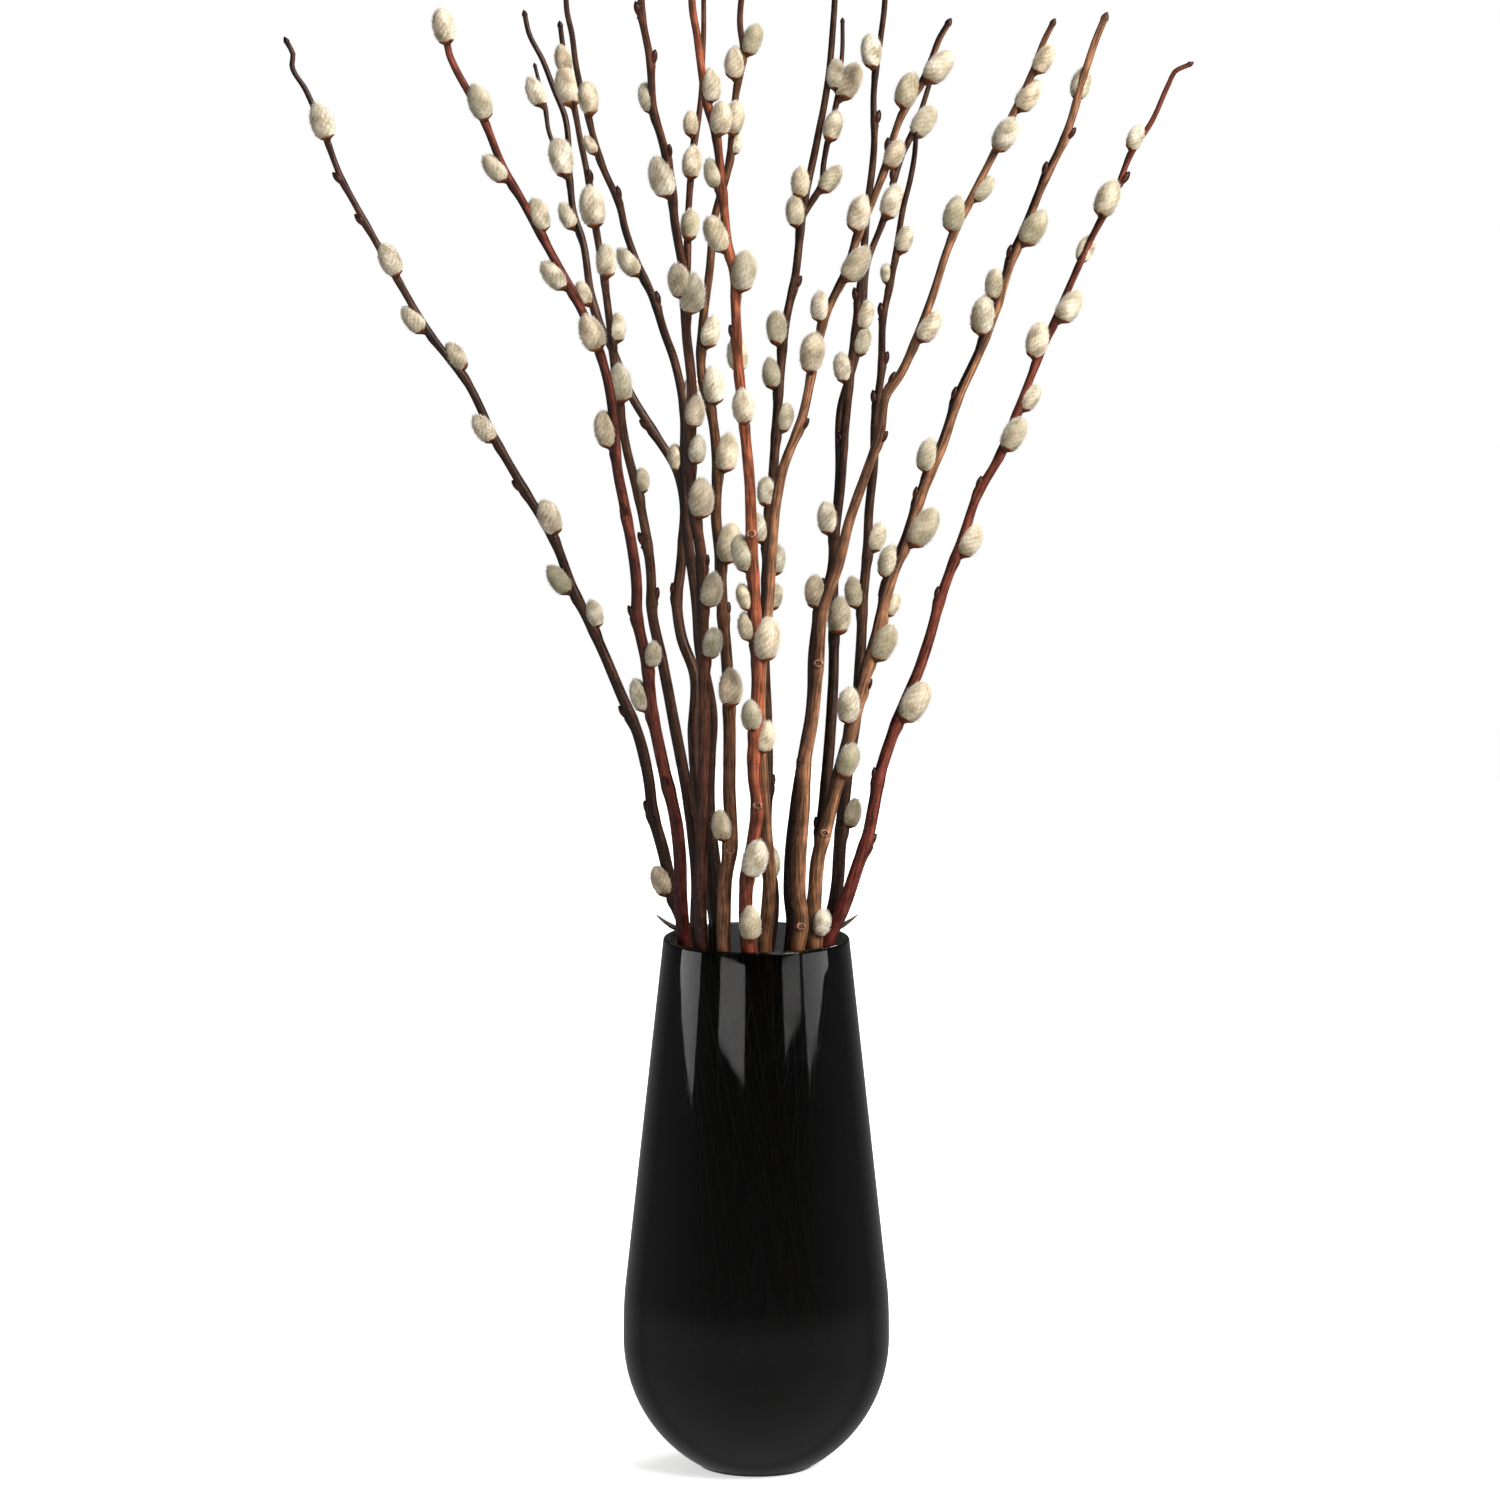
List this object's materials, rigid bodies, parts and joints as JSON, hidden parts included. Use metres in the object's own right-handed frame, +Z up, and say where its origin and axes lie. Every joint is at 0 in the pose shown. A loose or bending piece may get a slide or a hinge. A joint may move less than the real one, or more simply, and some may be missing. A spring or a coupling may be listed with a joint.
{
  "type": "willow stems in a vase",
  "caption": "Cut pussy-willow stems with silky catkins, spread in a tall smoked-glass vase with a round bowl and a flat foot.",
  "frame": {"origin": "middle of the vase's flat foot, on the surface that the vase stands on", "axes": "+Z up along the vase's axis, -Y towards the viewer, +X to the viewer's right"},
  "size_m": [0.4141, 0.2226, 0.6936],
  "materials": {
    "smoked_glass": "gloss",
    "willow_bark": "satin",
    "catkin_silk": "matt"
  },
  "bodies": {
    "root": {"vase": "smoked_glass", "stem_01": "willow_bark", "stem_02": "willow_bark", "stem_03": "willow_bark", "stem_04": "willow_bark", "stem_05": "willow_bark", "stem_06": "willow_bark", "stem_07": "willow_bark", "stem_08": "willow_bark", "stem_09": "willow_bark", "stem_10": "willow_bark", "stem_11": "willow_bark", "stem_12": "willow_bark", "stem_13": "willow_bark", "stem_14": "willow_bark", "stem_15": "willow_bark", "stem_16": "willow_bark"}
  },
  "joints": []
}
